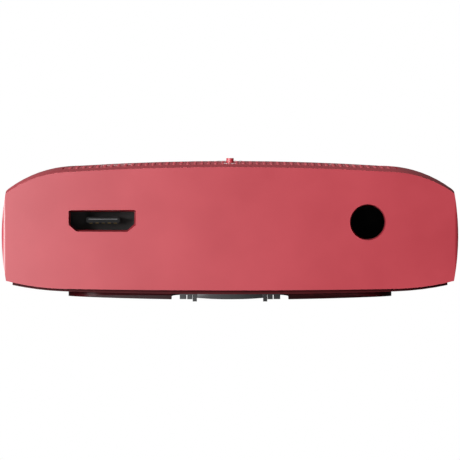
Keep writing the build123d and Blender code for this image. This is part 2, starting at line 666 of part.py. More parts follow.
with BuildPart() as side_switches:
    with BuildSketch(Plane.XY.offset(BOARD_Z - 2.4)):
        with Locations(*[(-18.2, key_y) for key_y in VOLUME_Y.values()]):
            Rectangle(3.2, 4.4)
        with Locations((18.3, SWITCH_Y)):
            Rectangle(3.0, 8.0)
    extrude(amount=2.4)
save(side_switches, "side_switches")


# ------------------------------------------------------------------ clip
def disc(radius, low_x, high_x, at=(HINGE_Y, HINGE_Z)):
    """Round bar along X."""
    with BuildPart() as bar:
        with BuildSketch(Plane.YZ.offset(low_x)):
            with Locations(at):
                Circle(radius)
        extrude(amount=high_x - low_x)
    return bar.part


with BuildPart() as hinge_bracket:
    base_y = (-29.4, -21.6)
    with BuildSketch(Plane.XY.offset(DEEP_FLOOR_Z - 0.6)):
        with Locations((0, sum(base_y) / 2)):
            RectangleRounded(11.6, base_y[1] - base_y[0], 0.8)
    extrude(amount=0.6)
    for side in (-1, 1):
        ear_low = side * EAR_X - EAR_THICK / 2
        with BuildSketch(Plane.YZ.offset(ear_low)):
            with Locations((HINGE_Y, HINGE_Z)):
                Circle(HINGE_Z)
            with Locations((HINGE_Y, (HINGE_Z + DEEP_FLOOR_Z - 0.3) / 2)):
                Rectangle(2 * HINGE_Z, DEEP_FLOOR_Z - 0.3 - HINGE_Z)
        extrude(amount=EAR_THICK)
    with BuildSketch(Plane.YZ.offset(-8)):
        with Locations((HINGE_Y, HINGE_Z)):
            Circle(PIN_RADIUS)
    extrude(amount=16, mode=Mode.SUBTRACT)
    with BuildSketch(Plane.XY.offset(3)):
        with Locations((-4.9, HINGE_Y + 3.0), (4.9, HINGE_Y + 3.0)):
            Circle(0.55, mode=Mode.ADD)
    extrude(amount=3, mode=Mode.SUBTRACT)
save(hinge_bracket, "hinge_bracket")

BRACKET_SCREW_Y = HINGE_Y + 3.0
with BuildPart() as bracket_screws:
    with BuildSketch(Plane.XY.offset(DEEP_FLOOR_Z - 1.0)):
        with Locations((-4.9, BRACKET_SCREW_Y), (4.9, BRACKET_SCREW_Y)):
            Circle(0.85)
    extrude(amount=0.4)
    with BuildSketch(Plane.XY.offset(DEEP_FLOOR_Z - 0.6)):
        with Locations((-4.9, BRACKET_SCREW_Y), (4.9, BRACKET_SCREW_Y)):
            Circle(0.55)
    extrude(amount=0.6)
save(bracket_screws, "bracket_screws")

with BuildPart() as hinge_pin:
    add(disc(PIN_RADIUS, -KNUCKLE_X[1] - 0.2, KNUCKLE_X[1] + 0.2))
save(hinge_pin, "hinge_pin")

with BuildPart() as hinge_bushes:
    for low_x in (BUSH_X[0], -BUSH_X[1]):
        add(disc(BUSH_RADIUS, low_x, low_x + BUSH_X[1] - BUSH_X[0]))
    add(disc(PIN_RADIUS, -BUSH_X[1], BUSH_X[1]), mode=Mode.SUBTRACT)
save(hinge_bushes, "hinge_bushes")

BARREL_RADIUS, BARREL_END_RADIUS = 1.768, 1.62
with BuildPart() as spring_cover:
    # slightly barrel-shaped tube between the ears
    barrel_end = EAR_X - EAR_THICK / 2
    with BuildSketch(Plane(origin=(0, HINGE_Y, HINGE_Z), x_dir=(1, 0, 0), z_dir=(0, -1, 0))):
        with BuildLine():
            ThreePointArc((-barrel_end, BARREL_END_RADIUS), (0, BARREL_RADIUS),
                          (barrel_end, BARREL_END_RADIUS))
            Polyline((barrel_end, BARREL_END_RADIUS), (barrel_end, 0), (-barrel_end, 0),
                     (-barrel_end, BARREL_END_RADIUS))
        make_face()
    revolve(axis=Axis((0, HINGE_Y, HINGE_Z), (1, 0, 0)))
    add(disc(BARREL_RADIUS - 0.3, -barrel_end, barrel_end), mode=Mode.SUBTRACT)
    # open along the top, where the spring's legs come out
    with BuildSketch(Plane.XY.offset(HINGE_Z)):
        with Locations((0, HINGE_Y)):
            Rectangle(2 * barrel_end, 1.7)
    extrude(amount=BARREL_RADIUS, mode=Mode.SUBTRACT)
save(spring_cover, "spring_cover")

SPRING_RADIUS, WIRE_RADIUS, SPRING_PITCH, SPRING_TURNS = 1.06, 0.2, 0.62, 8
with BuildPart() as clip_spring:
    with BuildLine():
        coil = Helix(pitch=SPRING_PITCH, height=SPRING_PITCH * SPRING_TURNS, radius=SPRING_RADIUS,
                     center=(-SPRING_PITCH * SPRING_TURNS / 2, HINGE_Y, HINGE_Z), direction=(1, 0, 0))
    with BuildSketch(Plane(origin=coil @ 0, z_dir=coil % 0)):
        Circle(WIRE_RADIUS)
    sweep(is_frenet=True)
save(clip_spring, "clip_spring")

PAD_Z = 0.25             # lowest surface of the thumb pads
PAD_EDGE_Z = 0.7         # the same at their long edges
LIP_Z = 0.15             # lowest line of the lip at the tip
with BuildPart() as clip_plate:
    # side profile: thumb pads at the hinge end, a shallow arch, and a lip that turns out at the tip
    with BuildSketch(Plane.YZ.offset(-CLIP_HALF)):
        with BuildLine():
            tail_y, tip_y = CLIP_Y
            Polyline((tail_y, CLIP_INNER_Z), (tail_y, PAD_Z + 0.5), (tail_y + 1.2, PAD_Z),
                     (HINGE_Y + 1.0, PAD_Z))
            Spline((HINGE_Y + 1.0, PAD_Z), (NOTCH_END_Y + 1.0, 0.76), (0, 0.9), (13, 0.85),
                   tangents=((1, 0), (1, -0.05)))
            Spline((13, 0.85), (tip_y - 1.6, LIP_Z), tangents=((1, -0.05), (1, -0.1)))
            Polyline((tip_y - 1.6, LIP_Z), (tip_y, LIP_Z + 0.3), (tip_y - 0.3, 1.3))
            Spline((tip_y - 0.3, 1.3), (17.5, CLIP_INNER_Z), tangents=((-1, 0.1), (-1, 0.02)))
            Line((17.5, CLIP_INNER_Z), (tail_y, CLIP_INNER_Z))
        make_face()
    extrude(amount=2 * CLIP_HALF)
    # outline with the notch that shows the hinge
    with BuildSketch(Plane.XY.offset(-1)):
        with Locations((0, sum(CLIP_Y) / 2)):
            RectangleRounded(2 * CLIP_HALF, CLIP_Y[1] - CLIP_Y[0], 3.6)
        with Locations((0, (CLIP_Y[0] + NOTCH_END_Y) / 2 - 2)):
            RectangleRounded(2 * NOTCH_HALF, NOTCH_END_Y - CLIP_Y[0] + 4, 1.2, mode=Mode.SUBTRACT)
    extrude(amount=5, mode=Mode.INTERSECT)
    # the thumb pads fall away towards the long edges
    with BuildSketch(Plane.XZ.offset(-NOTCH_END_Y - 12)):
        with BuildLine():
            ThreePointArc((-CLIP_HALF - 1, PAD_EDGE_Z), (0, PAD_Z), (CLIP_HALF + 1, PAD_EDGE_Z))
            Polyline((CLIP_HALF + 1, PAD_EDGE_Z), (CLIP_HALF + 1, LOW_Z), (-CLIP_HALF - 1, LOW_Z),
                     (-CLIP_HALF - 1, PAD_EDGE_Z))
        make_face()
    extrude(amount=30, mode=Mode.SUBTRACT)
    # blind holes for the rivets
    with BuildSketch(Plane.XY.offset(CLIP_INNER_Z)):
        with Locations((-3.4, -14.0), (3.4, -14.0)):
            Circle(0.5)
    extrude(amount=-0.8, mode=Mode.SUBTRACT)
save(clip_plate, "clip_plate")

LEAF_THICK = 0.55
with BuildPart() as clip_leaf:
    with BuildSketch(Plane.XY.offset(CLIP_INNER_Z)):
        leaf_y = (HINGE_Y + 2.2, -10.5)
        with Locations((0, sum(leaf_y) / 2)):
            RectangleRounded(2 * KNUCKLE_X[1], leaf_y[1] - leaf_y[0], 1.0)
        with Locations((0, HINGE_Y + 3.0)):
            Rectangle(2 * KNUCKLE_X[0], 3.6, mode=Mode.SUBTRACT)
        with Locations((-3.4, -14.0), (3.4, -14.0)):
            Circle(0.5, mode=Mode.SUBTRACT)
    extrude(amount=LEAF_THICK)
    for side in (-1, 1):
        low_x = KNUCKLE_X[0] if side > 0 else -KNUCKLE_X[1]
        add(disc(KNUCKLE_RADIUS, low_x, low_x + KNUCKLE_X[1] - KNUCKLE_X[0]))
        with BuildSketch(Plane.YZ.offset(low_x)):
            with Locations((HINGE_Y + 1.6, CLIP_INNER_Z + LEAF_THICK - 0.75)):
                Rectangle(3.2, 1.5)
        extrude(amount=KNUCKLE_X[1] - KNUCKLE_X[0])
    add(disc(PIN_RADIUS + 0.04, -8, 8), mode=Mode.SUBTRACT)
save(clip_leaf, "clip_leaf")

with BuildPart() as clip_rivets:
    with BuildSketch(Plane.XY.offset(CLIP_INNER_Z - 0.8)):
        with Locations((-3.4, -14.0), (3.4, -14.0)):
            Circle(0.5)
    extrude(amount=0.8 + LEAF_THICK)
    with BuildSketch(Plane.XY.offset(CLIP_INNER_Z + LEAF_THICK)):
        with Locations((-3.4, -14.0), (3.4, -14.0)):
            Circle(0.95)
    extrude(amount=0.3)
save(clip_rivets, "clip_rivets")

with BuildPart() as clip_grip:
    with BuildSketch(Plane.XY.offset(CLIP_INNER_Z)):
        with Locations((0, 13.5)):
            RectangleRounded(24.0, 6.4, 1.0)
    extrude(amount=SHALLOW_FLOOR_Z - 0.1 - CLIP_INNER_Z)
    with BuildSketch(Plane.XY.offset(SHALLOW_FLOOR_Z - 0.55)):
        with Locations((0, 13.5)):
            with GridLocations(1, 1.6, 1, 4):
                Rectangle(25.0, 0.6)
    extrude(amount=1, mode=Mode.SUBTRACT)
save(clip_grip, "clip_grip")
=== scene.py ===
"""Looks of a clip-on digital audio player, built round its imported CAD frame.

Everything is in metres, in the frame's own axes: +Z is the front face with the keys and the display,
-Y is the end with the two sockets, +X is to the right when that end is looked at.
"""
import json
import math

import bmesh
import bpy
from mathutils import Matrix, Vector


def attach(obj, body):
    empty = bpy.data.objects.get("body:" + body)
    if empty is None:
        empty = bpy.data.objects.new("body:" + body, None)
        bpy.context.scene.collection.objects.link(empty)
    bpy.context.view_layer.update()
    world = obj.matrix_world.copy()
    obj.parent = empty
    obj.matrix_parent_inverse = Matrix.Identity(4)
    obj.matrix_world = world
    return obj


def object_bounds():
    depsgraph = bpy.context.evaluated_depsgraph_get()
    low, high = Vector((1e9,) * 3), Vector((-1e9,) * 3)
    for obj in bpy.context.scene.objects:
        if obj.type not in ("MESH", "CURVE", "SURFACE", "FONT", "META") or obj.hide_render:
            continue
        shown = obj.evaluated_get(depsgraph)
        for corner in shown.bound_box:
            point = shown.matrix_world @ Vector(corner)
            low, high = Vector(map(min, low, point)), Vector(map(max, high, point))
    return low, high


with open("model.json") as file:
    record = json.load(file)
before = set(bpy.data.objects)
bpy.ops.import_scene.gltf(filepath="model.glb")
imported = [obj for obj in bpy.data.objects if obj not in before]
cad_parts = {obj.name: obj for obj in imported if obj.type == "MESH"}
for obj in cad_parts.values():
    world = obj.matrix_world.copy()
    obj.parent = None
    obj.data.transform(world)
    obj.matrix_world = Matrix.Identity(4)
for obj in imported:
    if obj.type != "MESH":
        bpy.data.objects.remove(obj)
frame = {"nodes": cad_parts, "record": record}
cad_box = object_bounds()
MM = 0.001
PER_MM = 1000.0              # turns metres into one texture unit for each millimetre

# ------------------------------------------------------------------ sizes repeated from the model, in metres
HALF_LENGTH = 34 * MM
END_BOW_RADIUS = 303 * MM     # of the bowed end walls, seen in plan
END_FACING_MIN = 0.993        # a normal at least this far along Y belongs to an end wall
CROWN_Z = 14.94 * MM         # top of the front face, in its middle
SHOULDER_X = 17.85 * MM
SHOULDER_DROP = 0.6 * MM
FRONT_BOW = 0.1 * MM
WINDOW_Y = 20 * MM            # middle of the display
WINDOW_OPENING_HALF = (16.5 * MM, 9.7 * MM)
SIDE_KEY_Z = 8.1 * MM
USB_X, USB_Z = -13.76 * MM, 8.77 * MM
TONGUE_FRONT_Y = -31.4 * MM
DISC_HEIGHT = 0.2 * MM        # raised disc on the play button, 4 mm in radius
PAD_Y = -12 * MM             # middle of the keypad
PAD_HALF = 18 * MM
PAD_RADIUS = 7 * MM
PLAY_RADIUS = 6.5 * MM
KEY_BODIES = {"key_up": "up", "key_left": "left", "key_down": "down", "key_right": "right"}
KEY_HEADINGS = {"key_up": 90, "key_left": 180, "key_down": 270, "key_right": 0}


def crown_height(x, y):
    """Height of the bowed front face over a point of the plan."""
    across = SHOULDER_DROP * (x / SHOULDER_X) ** 2
    along = FRONT_BOW * (y / HALF_LENGTH) ** 2
    return CROWN_Z - across - along


def disc_height(x, y):
    """Height of the raised disc on the play button."""
    return crown_height(x, y) + DISC_HEIGHT


# ------------------------------------------------------------------ material helpers
def new_material(name):
    """An empty node material and its shader; returns material, nodes, links and the Principled node."""
    mat = bpy.data.materials.new(name)
    mat.use_nodes = True
    nodes, links = mat.node_tree.nodes, mat.node_tree.links
    return mat, nodes, links, nodes["Principled BSDF"]


def sockets_of(sockets, kind):
    """The sockets of one type, where a node has several."""
    return [socket for socket in sockets if socket.type == kind]


def object_coords(nodes, links, stretch=(1.0, 1.0, 1.0)):
    """Object-space coordinates in millimetres, multiplied along each axis by stretch."""
    coords = nodes.new("ShaderNodeTexCoord")
    mapping = nodes.new("ShaderNodeMapping")
    mapping.inputs["Scale"].default_value = tuple(PER_MM * value for value in stretch)
    links.new(coords.outputs["Object"], mapping.inputs["Vector"])
    return mapping.outputs["Vector"]


def noise(nodes, links, vector, scale, detail=4.0, roughness=0.55):
    """Noise texture node fed by vector."""
    node = nodes.new("ShaderNodeTexNoise")
    node.inputs["Scale"].default_value = scale
    node.inputs["Detail"].default_value = detail
    node.inputs["Roughness"].default_value = roughness
    links.new(vector, node.inputs["Vector"])
    return node


def ramp(nodes, links, source, stops):
    """Colour ramp from (position, colour) stops; returns its colour output."""
    node = nodes.new("ShaderNodeValToRGB")
    elements = node.color_ramp.elements
    while len(elements) < len(stops):
        elements.new(0.5)
    for element, (position, colour) in zip(elements, stops):
        element.position = position
        element.color = (*colour, 1.0)
    links.new(source, node.inputs["Fac"])
    return node.outputs["Color"]


def value_range(nodes, links, source, low, high, from_low=0.0, from_high=1.0):
    """Maps a 0 to 1 value onto low to high."""
    node = nodes.new("ShaderNodeMapRange")
    node.inputs["From Min"].default_value = from_low
    node.inputs["From Max"].default_value = from_high
    node.inputs["To Min"].default_value = low
    node.inputs["To Max"].default_value = high
    links.new(source, node.inputs["Value"])
    return node.outputs["Result"]


def bump(nodes, links, shader, height, strength, distance, base_normal=None):
    """Bump from a height output onto the shader's normal."""
    node = nodes.new("ShaderNodeBump")
    if base_normal is not None:
        links.new(base_normal, node.inputs["Normal"])
    node.inputs["Strength"].default_value = strength
    node.inputs["Distance"].default_value = distance
    links.new(height, node.inputs["Height"])
    links.new(node.outputs["Normal"], shader.inputs["Normal"])


def end_wall_normal(nodes, links):
    """The surface normal, worked out from the bow on the two end walls."""
    geometry = nodes.new("ShaderNodeNewGeometry")
    flat = nodes.new("ShaderNodeSeparateXYZ")
    links.new(geometry.outputs["True Normal"], flat.inputs["Vector"])
    coords = nodes.new("ShaderNodeTexCoord")
    place = nodes.new("ShaderNodeSeparateXYZ")
    links.new(coords.outputs["Object"], place.inputs["Vector"])
    slope = nodes.new("ShaderNodeMath")
    slope.operation = "MULTIPLY"
    slope.inputs[1].default_value = 1 / END_BOW_RADIUS
    links.new(place.outputs["X"], slope.inputs[0])
    facing = nodes.new("ShaderNodeMath")
    facing.operation = "SIGN"
    links.new(flat.outputs["Y"], facing.inputs[0])
    exact = nodes.new("ShaderNodeCombineXYZ")
    links.new(slope.outputs["Value"], exact.inputs["X"])
    links.new(facing.outputs["Value"], exact.inputs["Y"])
    unit = nodes.new("ShaderNodeVectorMath")
    unit.operation = "NORMALIZE"
    links.new(exact.outputs["Vector"], unit.inputs[0])
    steepness = nodes.new("ShaderNodeMath")
    steepness.operation = "ABSOLUTE"
    links.new(flat.outputs["Y"], steepness.inputs[0])
    on_end = nodes.new("ShaderNodeMath")
    on_end.operation = "GREATER_THAN"
    on_end.inputs[1].default_value = END_FACING_MIN
    links.new(steepness.outputs["Value"], on_end.inputs[0])
    mix = nodes.new("ShaderNodeMix")
    mix.data_type = "VECTOR"
    links.new(on_end.outputs["Value"], mix.inputs["Factor"])
    vector_in = sockets_of(mix.inputs, "VECTOR")
    links.new(geometry.outputs["Normal"], vector_in[-2])
    links.new(unit.outputs["Vector"], vector_in[-1])
    return sockets_of(mix.outputs, "VECTOR")[0]


# ------------------------------------------------------------------ materials
RED = (0.575, 0.049, 0.070)
RED_DEEP = (0.525, 0.041, 0.060)
RED_FLAKE = (0.620, 0.085, 0.110)


def red_paint(name, roughness=0.365, fleck=0.5, even_ends=False):
    """Satin metallic-look red paint: fine flake, a soft mottling and a slight orange-peel surface."""
    mat, nodes, links, shader = new_material(name)
    vector = object_coords(nodes, links)
    mottling = noise(nodes, links, vector, 0.12, 3.0)
    flake = nodes.new("ShaderNodeTexVoronoi")
    flake.inputs["Scale"].default_value = 9.0
    links.new(vector, flake.inputs["Vector"])
    body = ramp(nodes, links, mottling.outputs["Fac"], [(0.35, RED_DEEP), (0.65, RED)])
    sparkle = value_range(nodes, links, flake.outputs["Distance"], fleck * 0.12, 0.0, 0.0, 0.5)
    mix = nodes.new("ShaderNodeMix")
    mix.data_type = "RGBA"
    links.new(sparkle, mix.inputs["Factor"])
    colour_in = sockets_of(mix.inputs, "RGBA")
    links.new(body, colour_in[0])
    colour_in[1].default_value = (*RED_FLAKE, 1.0)
    links.new(sockets_of(mix.outputs, "RGBA")[0], shader.inputs["Base Color"])
    rough = value_range(nodes, links, mottling.outputs["Fac"], roughness - 0.03, roughness + 0.04)
    links.new(rough, shader.inputs["Roughness"])
    shader.inputs["Specular IOR Level"].default_value = 1.0
    shader.inputs["Coat Weight"].default_value = 0.2
    shader.inputs["Coat Roughness"].default_value = 0.4
    grain = noise(nodes, links, vector, 6.0, 5.0)
    base_normal = end_wall_normal(nodes, links) if even_ends else None
    bump(nodes, links, shader, grain.outputs["Fac"], 0.06, 0.00004, base_normal)
    return mat


def plastic(name, colour, roughness, grain_scale=8.0, grain=0.12, specular=0.5):
    """Moulded plastic or rubber with a fine spark-eroded grain."""
    mat, nodes, links, shader = new_material(name)
    vector = object_coords(nodes, links)
    tone = noise(nodes, links, vector, 0.5, 3.0)
    darker = tuple(channel * 0.82 for channel in colour)
    lighter = tuple(min(1.0, channel * 1.15) for channel in colour)
    links.new(ramp(nodes, links, tone.outputs["Fac"], [(0.3, darker), (0.7, lighter)]),
              shader.inputs["Base Color"])
    grain_noise = noise(nodes, links, vector, grain_scale, 4.0)
    links.new(value_range(nodes, links, grain_noise.outputs["Fac"], roughness - 0.06, roughness + 0.08),
              shader.inputs["Roughness"])
    shader.inputs["Specular IOR Level"].default_value = specular
    bump(nodes, links, shader, grain_noise.outputs["Fac"], grain, 0.00003)
    return mat


def metal(name, colour, roughness, scratch=0.10, stretch=(1.0, 30.0, 30.0)):
    """Bare or plated metal with fine scratches that run along one axis."""
    mat, nodes, links, shader = new_material(name)
    lines = noise(nodes, links, object_coords(nodes, links, stretch), 0.6, 6.0)
    smudge = noise(nodes, links, object_coords(nodes, links), 0.35, 3.0)
    darker = tuple(channel * 0.88 for channel in colour)
    links.new(ramp(nodes, links, smudge.outputs["Fac"], [(0.35, darker), (0.7, colour)]),
              shader.inputs["Base Color"])
    links.new(value_range(nodes, links, lines.outputs["Fac"], max(0.03, roughness - scratch / 2),
                          roughness + scratch), shader.inputs["Roughness"])
    shader.inputs["Metallic"].default_value = 1.0
    bump(nodes, links, shader, lines.outputs["Fac"], scratch, 0.00002)
    return mat


def window_glass(name):
    """Clear hard-coated window with faint smudges in its gloss."""
    mat, nodes, links, shader = new_material(name)
    smudge = noise(nodes, links, object_coords(nodes, links), 0.25, 5.0)
    links.new(value_range(nodes, links, smudge.outputs["Fac"], 0.02, 0.09), shader.inputs["Roughness"])
    links.new(ramp(nodes, links, smudge.outputs["Fac"], [(0.3, (0.93, 0.94, 0.95)), (0.7, (1, 1, 1))]),
              shader.inputs["Base Color"])
    shader.inputs["Transmission Weight"].default_value = 1.0
    shader.inputs["IOR"].default_value = 1.49
    return mat


def circuit_board(name):
    """Green solder mask with darker traces and tinned pads."""
    mat, nodes, links, shader = new_material(name)
    vector = object_coords(nodes, links)
    brick = nodes.new("ShaderNodeTexBrick")
    brick.inputs["Scale"].default_value = 0.55
    brick.inputs["Mortar Size"].default_value = 0.012
    brick.inputs["Color1"].default_value = (0.015, 0.13, 0.05, 1)
    brick.inputs["Color2"].default_value = (0.012, 0.10, 0.04, 1)
    brick.inputs["Mortar"].default_value = (0.03, 0.22, 0.08, 1)
    links.new(vector, brick.inputs["Vector"])
    links.new(brick.outputs["Color"], shader.inputs["Base Color"])
    shader.inputs["Roughness"].default_value = 0.32
    bump(nodes, links, shader, brick.outputs["Fac"], 0.3, 0.00003)
    return mat


def printed_ink(name, colour, roughness=0.5):
    """Pad-printed ink with slightly uneven cover."""
    mat, nodes, links, shader = new_material(name)
    cover = noise(nodes, links, object_coords(nodes, links), 3.0, 3.0)
    thin = tuple(channel * 0.85 for channel in colour)
    links.new(ramp(nodes, links, cover.outputs["Fac"], [(0.3, thin), (0.6, colour)]),
              shader.inputs["Base Color"])
    shader.inputs["Roughness"].default_value = roughness
    return mat


def lit_ink(name, colour, strength):
    """Lit area of the display, with the panel's fine pixel rows."""
    mat, nodes, links, shader = new_material(name)
    rows = nodes.new("ShaderNodeTexWave")
    rows.bands_direction = "Y"
    rows.inputs["Scale"].default_value = 3.0
    links.new(object_coords(nodes, links), rows.inputs["Vector"])
    dim = tuple(channel * 0.82 for channel in colour)
    shade = ramp(nodes, links, rows.outputs["Fac"], [(0.2, dim), (0.8, colour)])
    links.new(shade, shader.inputs["Base Color"])
    links.new(shade, shader.inputs["Emission Color"])
    shader.inputs["Emission Strength"].default_value = strength
    shader.inputs["Roughness"].default_value = 0.3
    return mat


MATERIALS = {
    "red_shell": red_paint("red_shell", even_ends=True),
    # dark_red_shell: a darkened copy of the red shell paint on the back cover and clip, painted shade for
    # their shadowed underside
    "dark_red_shell": plastic("dark_red_shell", (0.075, 0.004, 0.007), 0.40, specular=0.2),
    "red_keys": red_paint("red_keys", 0.52, 0.3),
    "red_button": red_paint("red_button", 0.44),
    "black_plastic": plastic("black_plastic", (0.006, 0.006, 0.0065), 0.42, specular=0.25),
    "screw_steel": metal("screw_steel", (0.30, 0.30, 0.31), 0.32),
    "window_glass": window_glass("window_glass"),
    "display_glass": plastic("display_glass", (0.006, 0.007, 0.010), 0.22, 2.0, 0.02),
    "amber_film": plastic("amber_film", (0.55, 0.24, 0.04), 0.3),
    "spring_steel": metal("spring_steel", (0.50, 0.50, 0.51), 0.25),
    "circuit_board": circuit_board("circuit_board"),
    "chip_plastic": plastic("chip_plastic", (0.015, 0.015, 0.016), 0.5),
    "white_plastic": plastic("white_plastic", (0.72, 0.70, 0.64), 0.45),
    "battery_foil": metal("battery_foil", (0.62, 0.62, 0.63), 0.4, 0.2),
    "foam": plastic("foam", (0.02, 0.02, 0.02), 0.9, 5.0, 0.6),
    "lead_rubber": plastic("lead_rubber", (0.35, 0.02, 0.015), 0.5),
    # socket_steel: steel darkened far below its own colour, painted shade for the shadowed inside of the
    # socket
    "socket_steel": metal("socket_steel", (0.10, 0.095, 0.095), 0.3, 0.12, (30.0, 1.0, 30.0)),
    "gold": metal("gold", (0.83, 0.60, 0.24), 0.25),
    "card_plastic": plastic("card_plastic", (0.015, 0.015, 0.017), 0.45),
    "chrome": metal("chrome", (0.78, 0.78, 0.80), 0.10, 0.05),
    "grip_rubber": plastic("grip_rubber", (0.02, 0.02, 0.02), 0.75, 6.0, 0.4),
}
BLACK_INK = printed_ink("black_ink", (0.004, 0.004, 0.005), 0.25)
ICON_INK = printed_ink("icon_ink", (0.78, 0.74, 0.74))


# ------------------------------------------------------------------ CAD nodes: finish, bevels, shading
# rolled edges, in millimetres
BEVELS = {
    "main_housing": 0.2, "back_cover": 0.12, "clip_plate": 0.15, "hinge_bushes": 0.06, "display_window": 0.12,
    "key_up": 0.14, "key_down": 0.14, "key_left": 0.14, "key_right": 0.14, "play_button": 0.10,
    "volume_up_button": 0.2, "volume_down_button": 0.2, "power_slider": 0.12, "usb_shell": 0.06,
    "usb_tongue": 0.06, "jack_body": 0.08, "hinge_bracket": 0.1, "hinge_pin": 0.12, "spring_cover": 0.08,
    "clip_leaf": 0.1, "clip_rivets": 0.1, "clip_grip": 0.12, "memory_card": 0.08, "cover_screws": 0.08,
}
BEVEL_SEGMENTS = 3
BEVEL_ANGLE = math.radians(28)     # edges sharper than this are rolled
FLAT_FACE_WEIGHT = 100             # how far large faces outweigh the rolled edges in the shading


def finish_node(node_name, obj, slot_name):
    """Give a CAD node its slot's material and, where it has them, rolled edges with even shading."""
    obj.data.materials.clear()
    obj.data.materials.append(MATERIALS[slot_name])
    if node_name in BEVELS:
        bevel = obj.modifiers.new("rolled_edges", "BEVEL")
        bevel.width = BEVELS[node_name] * MM
        bevel.segments = BEVEL_SEGMENTS
        bevel.limit_method = "ANGLE"
        bevel.angle_limit = BEVEL_ANGLE
        bevel.use_clamp_overlap = True
        bevel.face_strength_mode = "FSTR_ALL"
        smooth = obj.modifiers.new("even_shading", "WEIGHTED_NORMAL")
        smooth.weight = FLAT_FACE_WEIGHT
        smooth.keep_sharp = True
        smooth.use_face_influence = True


for part in frame["record"]["subparts"]:
    finish_node(part["node"], frame["nodes"][part["node"]], part["material_slot"])


# ------------------------------------------------------------------ mesh helpers
def mesh_object(name, bm, material, body, smooth=True):
    """Turn a bmesh into a piece that rides on a body."""
    mesh = bpy.data.meshes.new(name)
    bm.normal_update()
    bm.to_mesh(mesh)
    bm.free()
    mesh.materials.append(material)
    if smooth:
        mesh.shade_smooth()
    obj = bpy.data.objects.new(name, mesh)
    bpy.context.collection.objects.link(obj)
    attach(obj, body)


# share of the radius and of the height at each ring of a dot, from its sunken skirt up
DOME_RINGS = ((1.0, -0.35), (0.92, 0.35), (0.55, 0.85))


def dome(bm, centre, radius, height, sides=8):
    """Small spherical dot standing on a surface, its skirt sunk a little below centre."""
    rings = []
    for scale, lift in DOME_RINGS:
        ring = [bm.verts.new(centre + Vector((radius * scale * math.cos(2 * math.pi * k / sides),
                                              radius * scale * math.sin(2 * math.pi * k / sides),
                                              height * lift))) for k in range(sides)]
        rings.append(ring)
    top = bm.verts.new(centre + Vector((0, 0, height)))
    for lower, upper in zip(rings, rings[1:]):
        for k in range(sides):
            bm.faces.new((lower[k], lower[(k + 1) % sides], upper[(k + 1) % sides], upper[k]))
    for k in range(sides):
        bm.faces.new((rings[-1][k], rings[-1][(k + 1) % sides], top))
    bm.faces.new(list(reversed(rings[0])))


# ------------------------------------------------------------------ dotted texture of the keys
DOT_PITCH = 0.75 * MM
DOT_RADIUS = 0.20 * MM
DOT_HEIGHT = 0.045 * MM
DOT_MARGIN = 0.42 * MM        # from a dot's middle to a key's edge
PLAY_GAP = 0.2 * MM           # between the play button and the keys
KEY_GAP_HALF = 0.28 * MM      # from a key's edge to the diagonal, measured along X or Y
ICON_CLEARANCE = 2.3 * MM
ICON_OUT = 12.4 * MM


def key_of(x, y):
    """Name of the key under a point relative to the keypad's middle, or None near an edge or an icon."""
    if math.hypot(x, y) < PLAY_RADIUS + PLAY_GAP + DOT_MARGIN:
        return None
    if abs(abs(x) - abs(y)) < KEY_GAP_HALF + DOT_MARGIN * 1.1:
        return None
    inner = PAD_HALF - PAD_RADIUS
    corner_x, corner_y = max(abs(x) - inner, 0.0), max(abs(y) - inner, 0.0)
    if math.hypot(corner_x, corner_y) > PAD_RADIUS - DOT_MARGIN:
        return None
    if abs(y) > abs(x):
        name = "key_up" if y > 0 else "key_down"
    else:
        name = "key_right" if x > 0 else "key_left"
    heading = math.radians(KEY_HEADINGS[name])
    if math.hypot(x - ICON_OUT * math.cos(heading), y - ICON_OUT * math.sin(heading)) < ICON_CLEARANCE:
        return None
    return name


def build_dots():
    """Rows of raised dots on the four keys, one piece for each key."""
    fields = {name: bmesh.new() for name in KEY_BODIES}
    count = int(PAD_HALF / DOT_PITCH) + 1
    for row in range(-count, count + 1):
        for column in range(-count, count + 1):
            x, y = column * DOT_PITCH, row * DOT_PITCH
            name = key_of(x, y)
            if name:
                place = Vector((x, PAD_Y + y, crown_height(x, PAD_Y + y)))
                dome(fields[name], place, DOT_RADIUS, DOT_HEIGHT)
    for name, field in fields.items():
        mesh_object(f"dots_{name}", field, MATERIALS["red_keys"], KEY_BODIES[name])


build_dots()


# ------------------------------------------------------------------ printed icons
ICON_LIFT = 0.012 * MM
ICON_THICK = 0.02 * MM
PLAY_ICON_DROP = 2.3 * MM     # from the tactile dot to the play icon


def plate(bm, outline, height_of, thick=ICON_THICK, lift=ICON_LIFT):
    """Thin plate with a flat outline, following a surface given by height_of(x, y)."""
    low = [bm.verts.new((x, y, height_of(x, y) + lift - thick)) for x, y in outline]
    high = [bm.verts.new((x, y, height_of(x, y) + lift)) for x, y in outline]
    bm.faces.new(high)
    bm.faces.new(list(reversed(low)))
    count = len(outline)
    for k in range(count):
        bm.faces.new((low[k], low[(k + 1) % count], high[(k + 1) % count], high[k]))


def bar(x, y, width, height):
    """Outline of an upright rectangle."""
    return [(x - width / 2, y - height / 2), (x + width / 2, y - height / 2),
            (x + width / 2, y + height / 2), (x - width / 2, y + height / 2)]


def triangle(x, y, width, height, way):
    """Outline of a triangle that points along +X (way 1) or -X (way -1)."""
    points = [(x - way * width / 2, y - height / 2), (x + way * width / 2, y),
              (x - way * width / 2, y + height / 2)]
    return points if way > 0 else list(reversed(points))


def icon(name, outlines, body, height_of):
    """One printed icon made of several flat outlines."""
    bm = bmesh.new()
    for outline in outlines:
        plate(bm, outline, height_of)
    mesh_object(name, bm, ICON_INK, body, smooth=False)


